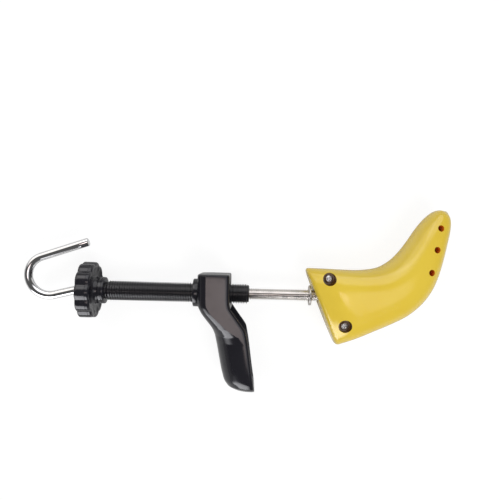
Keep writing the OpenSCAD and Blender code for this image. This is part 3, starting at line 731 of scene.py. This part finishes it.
# last: each row has a point on the upper edge, one on the lower edge and the half width
lastRows = [
    [-5.5, 19.8, 17.5, -35.4, 13.2],
    [8.0, 19.5, 30.0, -30.4, 18.4],
    [22.0, 19.1, 43.0, -24.6, 19.7],
    [35.0, 19.2, 56.0, -18.8, 20.2],
    [47.0, 21.2, 67.0, -13.0, 20.2],
    [56.0, 26.3, 76.5, -5.2, 20.0],
    [63.0, 33.3, 83.5, 3.8, 19.3],
    [69.0, 41.5, 88.0, 13.5, 18.2],
    [74.5, 50.0, 91.5, 25.0, 16.8],
    [80.0, 57.0, 94.2, 36.5, 15.0],
    [85.0, 61.5, 96.6, 47.5, 12.6],
    [89.0, 63.4, 97.2, 55.0, 9.4],
    [93.2, 63.0, 96.2, 60.0, 4.5]]
lastSizes = {"power": 2.5, "squarer": 0.9, "squareFrom": 1.5, "squareTo": 6.0, "squareFall": 1.5,
             "edge": 3.0, "gap": 0.15, "arc": 44, "step": 0.08, "beyond": 30.0, "below": 1.0,
             "holeSides": 64, "hingeSides": 48, "merge": 1e-7, "shading": 34,
             # plug holes: place and height of the rim above the split
             "plugs": ((87.0, 49.8, 14.95), (84.0, 34.7, 17.25), (80.2, 18.9, 18.59)),
             "plug": 4.5, "plugDepth": 13.0, "plugShade": 1.0, "recessShade": 0.5,
             "bolts": ((10.6, 12.6), (22.0, -19.7)), "boltHole": 3.4, "recess": 9.0, "headSeats": (9.6, 11.0),
             "springHole": 4.8, "springRecess": 10.0, "ledge": 2.4, "seatEdge": 0.4, "holeMargin": 0.03,
             "hinge": (90.6, 56.4), "hingeTurn": -55.0, "hingeLength": 10.4, "hingePin": 3.1, "knuckle": 6.4,
             "hingePlay": 0.2, "knuckleRoom": 0.3, "relief": ((-20, 0, -0.85), (20, 20, 0.5)),
             "bearing": (19.0, 8.0, 18.0), "bearingRoom": 0.6, "bearingRoof": 0.3,
             "channel": (-12.0, 67.0, 10.4), "clipRoom": (17.5, 28.5, 13.2),
             # the wedge's place, thickness, slope and travel; its pocket's width, end, play and rear room
             "wedge": (46.0, 5.8, 14.0, 10.3125), "wedgeRoom": (18.2, 65.2, 0.3, 1.0),
             # how wide and how far out the rings of the toe's dome are
             "dome": ((0.94, 0.2), (0.82, 0.42), (0.62, 0.6), (0.36, 0.7), (0.1, 0.74)),
             "domeWay": (0.707, 0.707, 0)}


def through(rows, s):
    # a smooth way through rows of numbers; s counts rows
    rows = np.asarray(rows, float)
    n = len(rows) - 1
    i = min(int(math.floor(s)), n - 1)
    t = s - i
    p1, p2 = rows[i], rows[i + 1]
    p0 = rows[i - 1] if i > 0 else 2 * p1 - p2
    p3 = rows[i + 2] if i < n - 1 else 2 * p2 - p1
    bend = (2 * p0 - 5 * p1 + 4 * p2 - p3) * t * t + (3 * p1 - p0 - 3 * p2 + p3) * t ** 3
    return 0.5 * (2 * p1 + (p2 - p0) * t + bend)


def lastRing(s, spot, inset):
    row = through(lastRows, spot)
    middle, half = (row[:2] + row[2:4]) / 2, (row[:2] - row[2:4]) / 2
    half = half * (1 - inset / np.linalg.norm(half))
    wide, base = row[4] - inset, s["gap"]
    fade = min(1, spot / s["squareFrom"]) * max(0, 1 - spot / s["squareTo"]) ** s["squareFall"]
    power = s["power"] + s["squarer"] * fade
    ring = []
    for k in range(s["arc"] + 1):
        a = turn / 2 * k / s["arc"]
        c = math.copysign(abs(math.cos(a)) ** (2 / power), math.cos(a))
        u = max(math.sin(a), 0) ** (2 / power)
        ring.append((middle[0] + half[0] * c, middle[1] + half[1] * c, base + (wide - base) * u))
    return ring


def lastShell(s, name, side):
    rowStep = math.hypot(lastRows[1][0] - lastRows[0][0], lastRows[1][1] - lastRows[0][1])
    toe, edge = len(lastRows) - 1, s["edge"]
    first = edge / rowStep
    rings = [lastRing(s, first * (1 - math.cos(a)), edge * (1 - math.sin(a))) for a in quarter]
    rings += [lastRing(s, v, 0) for v in np.linspace(first, toe, int((toe - first) / s["step"]))[1:]]
    # the very tip is closed as a low dome
    tip = np.array(rings[-1])
    middle = (tip[0] + tip[-1]) / 2
    for share, out in s["dome"]:
        ring = middle + (tip - middle) * share + np.array(s["domeWay"]) * out
        ring[:, 2] = s["gap"] + (tip[:, 2] - s["gap"]) * share
        rings.append(ring)
    return loft(name, [[at(x, y, z * side) for x, y, z in ring] for ring in rings])


def atHinge(s):
    return Matrix.Translation(at(*s["hinge"])) @ Matrix.Rotation(math.radians(s["hingeTurn"]), 4, "Z")


def hingeRod(s, name, start, length, diameter):
    place = atHinge(s)
    axis = place.to_3x3() @ Vector((1, 0, 0))
    return cylinder(name, start, start + length, diameter / 2, s["hingeSides"], place.translation, axis)


def makeKnuckles(s, made, side, outerKnuckles):
    # one half has the two outer knuckles and the other the middle one
    length, play, room, knuckle = s["hingeLength"], s["hingePlay"], s["knuckleRoom"], s["knuckle"]
    third = length / 3
    outerAt, innerAt = [-length / 2, length / 2 - third + play], [-third / 2 + play / 2]
    mine, others = (outerAt, innerAt) if outerKnuckles else (innerAt, outerAt)
    place = atHinge(s)
    carved(made, [hingeRod(s, "room", x - room, third - play + 2 * room, knuckle + 2 * room) for x in others])
    carved(made, [block("relief", *s["relief"], lambda x, y, z: place @ (Vector((x, y, z * side)) * mm))])
    carved(made, [hingeRod(s, "knuckle", x, third - play, knuckle) for x in mine], "UNION")
    carved(made, [hingeRod(s, "hingeBore", -length / 2 - play, length + 2 * play, s["hingePin"])])


def wedgeRoom(s, side):
    # the pocket that the wedge travels in, with the sloped roof it presses on
    wedgeX, thin, slope, travel = s["wedge"]
    width, high, play, behind = s["wedgeRoom"]
    low = wedgeX - travel - behind

    def roof(x):
        return thin + play + (x - wedgeX) * math.tan(math.radians(slope))
    shape = [(low, -s["below"]), (high, -s["below"]), (high, roof(high)), (low, roof(low))]
    return loft("wedgeRoom", [[at(x, y, z * side) for x, z in shape] for y in (-width / 2, width / 2)])


def bearingRoom(s, side):
    start, length, width = s["bearing"]
    room = s["bearingRoom"]
    reach = width / 2 + room
    low, high = sorted((-s["below"] * side, (width / 2 + s["bearingRoof"]) * side))
    return block("bearingRoom", (start - room, -reach, low), (start + length + room, reach, high))


def plugHole(s, x, y, rim, side):
    return cylinder("plugHole", rim - s["plugDepth"], s["beyond"], s["plug"] / 2, s["holeSides"],
                    at(x, y), (0, 0, side))


def boltHole(s, x, y, seat, hole, recess, side):
    top, edge = s["beyond"], s["seatEdge"]
    profile = [(-s["below"], 0), (-s["below"], hole / 2), (seat, hole / 2), (seat, recess / 2 - edge),
               (seat + edge, recess / 2), (top, recess / 2), (top, 0)]
    return turned("boltHole", profile, s["holeSides"], at(x, y), (0, 0, side))


def lastCutters(s, side):
    hollows = []
    for name in ("channel", "clipRoom"):
        low, high, width = s[name]
        hollows.append(cylinder(name, low, high, width / 2))
    hollows += [wedgeRoom(s, side), bearingRoom(s, side)]
    hollows += [plugHole(s, x, y, rim, side) for x, y, rim in s["plugs"]]
    hole, recess, seats = s["boltHole"], s["recess"], s["headSeats"]
    if side < 0:
        hole, recess, seats = s["springHole"], s["springRecess"], (s["ledge"], s["ledge"])
    return hollows + [boltHole(s, x, y, seat, hole, recess, side) for (x, y), seat in zip(s["bolts"], seats)]


def markHoles(s, thing, side):
    # faces inside the plug holes and screw recesses carry an amount of painted shade for the finish
    mesh = thing.data
    recess = s["recess"] if side > 0 else s["springRecess"]
    reach = [(at(x, y), s["plug"] / 2, s["plugShade"]) for x, y, rim in s["plugs"]]
    reach += [(at(x, y), recess / 2, s["recessShade"]) for x, y in s["bolts"]]
    depth = mesh.attributes.new("paintedHoleShade", "FLOAT", "CORNER")
    place = np.empty(len(mesh.vertices) * 3)
    mesh.vertices.foreach_get("co", place)
    place = place.reshape(-1, 3)
    values = np.zeros(len(mesh.loops))
    inside = [(np.hypot(place[:, 0] - c.x, place[:, 1] - c.y) < (r + s["holeMargin"]) * mm, mark)
              for c, r, mark in reach]
    for face in mesh.polygons:
        for within, mark in inside:
            if all(within[v] for v in face.vertices):
                for corner in face.loop_indices:
                    values[corner] = mark
    depth.data.foreach_set("value", values)


def makeLastHalf(s, name, node, body, side, outerKnuckles):
    made = lastShell(s, name, side)
    makeKnuckles(s, made, side, outerKnuckles)
    carved(made, lastCutters(s, side))
    outward(made, s["merge"])
    markHoles(s, made, side)
    return finished(made, [node], body, "yellow_plastic", s["shading"])


makeLastHalf(lastSizes, "lastNear", "last_near", "near_half", 1, True)
makeLastHalf(lastSizes, "lastFar", "last_far", "far_half", -1, False)
print("stage: last halves moulded")


# closing screws, springs and the small hardware
springSizes = {"outer": 6.0, "wire": 0.5, "coils": 4.0, "ledge": 2.45, "steps": 48, "wireSides": 12,
               "lengths": {"upper": 10.6, "lower": 12.2}, "squeeze": {"upper": 7.6, "lower": 8.4},
               "shading": 60}
screwSizes = {"diameter": 3.0, "core": 2.56, "pitch": 0.5, "tipEdge": 0.35, "tip": 2.2, "beyondNut": 0.2,
              "threadTop": 4.0, "head": 6.0, "headHeight": 2.0, "headEdge": 0.15, "headSteps": 9,
              "dome": 0.55, "domeFlat": 0.42, "lift": 0.02, "washer": 0.4, "nut": 1.8, "nutEdge": 0.2,
              "washerEdge": 0.1, "crossWidth": 0.9, "crossReach": 1.75, "crossFoot": 0.45, "crossTop": 0.3,
              "crossTaper": (0.35, 0.6), "sides": 64, "shading": 34}


def springTree():
    floats = dict.fromkeys(("Coils", "Radius", "Wire Radius", "Length"), "Float")
    graph, said = treeWith("woundSpring", {
        **floats, "Steps": "Int", "Wire Sides": "Int", "Start": "Vector", "Finish": "Material"})
    coil = graph.value("GeometryNodeCurveSpiral", None, {
        "Resolution": said["Steps"], "Rotations": said["Coils"], "Start Radius": said["Radius"],
        "End Radius": said["Radius"], "Height": said["Length"]})
    wire = graph.value("GeometryNodeCurvePrimitiveCircle", None, {
        "Resolution": said["Wire Sides"], "Radius": said["Wire Radius"]})
    tube = graph.value("GeometryNodeCurveToMesh", None, {
        "Curve": coil, "Profile Curve": wire, "Fill Caps": True})
    place = graph.value("GeometryNodeTransform", None, {"Geometry": tube, "Translation": said["Start"]})
    return closedTree(graph, place, said["Finish"])


woundSpring = springTree()


def crossCutters(s, x, y, seat):
    # two tapered slots across each other
    top = seat + s["headHeight"] + s["crossTop"]
    long, wide = s["crossReach"], s["crossWidth"] / 2
    lowLong, lowWide = (size * share for size, share in zip((long, wide), s["crossTaper"]))
    corners = ((-1, -1), (1, -1), (1, 1), (-1, 1))
    slots = []
    for foot, mouth in (((lowLong, lowWide), (long, wide)), ((lowWide, lowLong), (wide, long))):
        slots.append(loft("cross", [[at(x + i * a, y + j * b, z) for i, j in corners]
                                    for (a, b), z in ((foot, seat + s["crossFoot"]), (mouth, top))]))
    return slots


def makeClosingScrew(s, row, name, x, y, seat):
    shank, core, head, edge = s["diameter"] / 2, s["core"] / 2, s["head"] / 2, s["headEdge"]
    end = -springSizes["ledge"] - springSizes["lengths"][row] - s["washer"] - s["nut"] - s["beyondNut"]
    z, pitch = end + s["tipEdge"], s["pitch"]
    profile = [(end, 0), (end, s["tip"] / 2), (z, shank)]
    while z < -springSizes["ledge"] - s["threadTop"]:
        profile += [(z + pitch / 4, shank), (z + pitch / 2, core), (z + 3 * pitch / 4, core)]
        z += pitch
        profile.append((z, shank))
    profile += [(seat, shank), (seat, head - edge), (seat + edge, head)]
    for k in range(1, s["headSteps"]):
        a = turn / 4 * k / s["headSteps"]
        share = 1 - s["dome"] * (1 - math.cos(a)) if k < s["headSteps"] - 1 else s["domeFlat"]
        profile.append((seat + edge + (s["headHeight"] - edge) * math.sin(a), head * share))
    made = turned(name, profile + [(seat + s["headHeight"], 0)], s["sides"], at(x, y), (0, 0, 1))
    carved(made, crossCutters(s, x, y, seat))
    return finished(made, ["closing_screw_" + row], "near_half", "zinc_steel", s["shading"],
                    "bright_zinc")


def makeSpring(s, row, boltX, boltY):
    length = s["lengths"][row]
    spring = meshObject("closingSpring" + row.title(), [at(boltX, boltY)], [])
    grown(spring, woundSpring, {
        "Coils": s["coils"], "Radius": (s["outer"] - s["wire"]) / 2 * mm, "Wire Radius": s["wire"] / 2 * mm,
        "Length": (length - s["wire"]) * mm, "Steps": s["steps"], "Wire Sides": s["wireSides"],
        "Start": at(boltX, boltY, -s["ledge"] - length + s["wire"] / 2), "Finish": finishes["spring_steel"]})
    finished(spring, ["closing_spring_" + row], "far_half", "spring_steel", s["shading"])
    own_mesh(spring)


rowNames = ("upper", "lower")
for row, (boltX, boltY), seat in zip(rowNames, lastSizes["bolts"], lastSizes["headSeats"]):
    makeClosingScrew(screwSizes, row, "closingScrew" + row.title(), boltX, boltY, seat + screwSizes["lift"])
    makeSpring(springSizes, row, boltX, boltY)
    nutEdge, washerEdge = screwSizes["nutEdge"], screwSizes["washerEdge"]
    eased("closingNut" + row.title(), "closing_nut_" + row, "near_half", "zinc_steel", nutEdge)
    eased("springWasher" + row.title(), "spring_washer_" + row, "near_half", "zinc_steel", washerEdge)

# each piece: node, body, slot and the width of its rounded edges
smallPieces = {
    "handlePin": ("handle_pin", "handle_rod", "zinc_steel", 0.2),
    "bearingClipRear": ("bearing_clip_rear", "handle_rod", "zinc_steel", 0.12),
    "bearingClipFront": ("bearing_clip_front", "handle_rod", "zinc_steel", 0.12),
    "rodEndClip": ("rod_end_clip", "handle_rod", "zinc_steel", 0.12),
    "guideBush": ("guide_bush", "guide_bush", "bush_plastic", 0.25),
    "thrustWasher": ("thrust_washer", "thrust_washer", "zinc_steel", 0.3),
    "spreaderWedge": ("spreader_wedge", "spreader", "cast_zinc", 0.6),
    "rodBearing": ("rod_bearing", "core", "cast_zinc", 0.6),
    "hingePin": ("hinge_pin", "core", "zinc_steel", 0.3)}
for name, (node, body, slot, width) in smallPieces.items():
    eased(name, node, body, slot, width, 3)
print("stage: hardware made")


# floor, light and background
floorSizes = {"reach": 3.0, "grey": 0.8, "glow": 1.14, "white": 0.76}      # metres, then shades and shares


def seenShare(graph, ways):
    # 1 where the camera looks, also through something clear
    straight, clear = (Value(graph, ways.outputs[name]) for name in ("Is Camera Ray", "Is Transmission Ray"))
    return straight.math("MAXIMUM", clear)


def makeStage(s):
    size, grey = s["reach"], s["grey"]
    corners = [(-size, -size, 0), (size, -size, 0), (size, size, 0), (-size, size, 0)]
    floor = meshObject("floor", corners, [(0, 1, 2, 3)])
    material = bpy.data.materials.new("paleFloor")
    material.use_nodes = True
    graph = Graph(material.node_tree)
    graph.tree.nodes.clear()
    seen = seenShare(graph, graph.node("ShaderNodeLightPath"))
    matt = graph.value("ShaderNodeBsdfDiffuse", None, {"Color": (grey, grey, grey, 1)})
    glow = graph.value("ShaderNodeEmission", None, {"Color": (1, 1, 1, 1), "Strength": s["glow"]})
    mixed = graph.value("ShaderNodeMixShader", None, {0: seen * s["white"], 1: matt, 2: glow})
    graph.node("ShaderNodeOutputMaterial", None, {"Surface": mixed})
    floor.data.materials.append(material)


# directions are from the part, with the two angles at which a panel begins to fade and ends
studio = {"even": 0.45, "base": 0.09, "skirt": 0.25, "skirtFrom": 0.10, "skirtTo": 0.36,
          "panels": (((0.05, 0.82, 0.57), 18, 34, (1.6, 1.6, 1.65)),
                     ((-0.62, 0.60, 0.50), 20, 33, (1.2, 1.15, 1.1)),
                     ((-0.48, -0.84, 0.26), 17, 30, (5.4, 5.4, 5.6)),
                     ((-0.085, -0.10, 1.0), 4.5, 8.5, (3.1, 2.6, 2.5)),
                     ((0.19, -0.10, 1.0), 5, 16, (1.1, 1.1, 1.15)))}


def panelShape(graph, way, middle, inner, outer):
    towards = graph.value("ShaderNodeVectorMath", {"operation": "DOT_PRODUCT"}, {
        0: way, 1: tuple(Vector(middle).normalized())}, out="Value")
    return graph.smooth(towards, math.cos(math.radians(outer)), math.cos(math.radians(inner)))


def makeWorld(s):
    world = bpy.data.worlds.new("studio")
    bpy.context.scene.world = world
    world.use_nodes = True
    graph = Graph(world.node_tree)
    graph.tree.nodes.clear()
    ways = graph.node("ShaderNodeLightPath")
    seen, shiny = seenShare(graph, ways), Value(graph, ways.outputs["Is Glossy Ray"])
    way = graph.value("ShaderNodeTexCoord", out="Generated")
    # mirrors see a dark room with a pale skirt, two wide panels behind the part, one low in front of it
    # and two by the camera
    height = Value(graph, graph.node("ShaderNodeSeparateXYZ", None, {0: way}).outputs["Z"])
    room = s["base"] + s["skirt"] * (1 - graph.smooth(height, s["skirtFrom"], s["skirtTo"]))
    lit = [room, room, room]
    for middle, inner, outer, glow in s["panels"]:
        shape = panelShape(graph, way, middle, inner, outer)
        lit = [before + shape * shade for before, shade in zip(lit, glow)]
    mirror = graph.value("ShaderNodeCombineColor", None, dict(enumerate(lit)))
    plain = s["even"] * (1 - seen) + seen
    grey = graph.value("ShaderNodeCombineColor", None, {i: plain for i in range(3)})
    mixed = graph.value("ShaderNodeMix", {"data_type": "RGBA"}, {0: shiny, 6: grey, 7: mirror}, out=2)
    light = graph.value("ShaderNodeBackground", None, {"Color": mixed, "Strength": 1.0})
    graph.node("ShaderNodeOutputWorld", None, {"Surface": light})


# place in metres, size and power
lamps = {"key": ((0.30, -0.40, 0.75), 0.4, 2.95), "fill": ((-0.40, 0.35, 0.7), 0.35, 1.3),
         "rim": ((0.1, 0.9, 0.25), 0.3, 0.8)}


def makeLamps():
    for name, (place, size, power) in lamps.items():
        data = bpy.data.lights.new(name, "AREA")
        data.shape, data.size, data.energy = "SQUARE", size, power
        lamp = bpy.data.objects.new(name, data)
        lamp.location = place
        lamp.visible_glossy = False
        lamp.rotation_mode = "QUATERNION"
        lamp.rotation_quaternion = (-Vector(place)).to_track_quat("-Z", "Y")
        bpy.context.scene.collection.objects.link(lamp)


makeStage(floorSizes)
makeWorld(studio)
makeLamps()
print("stage: floor and light set")
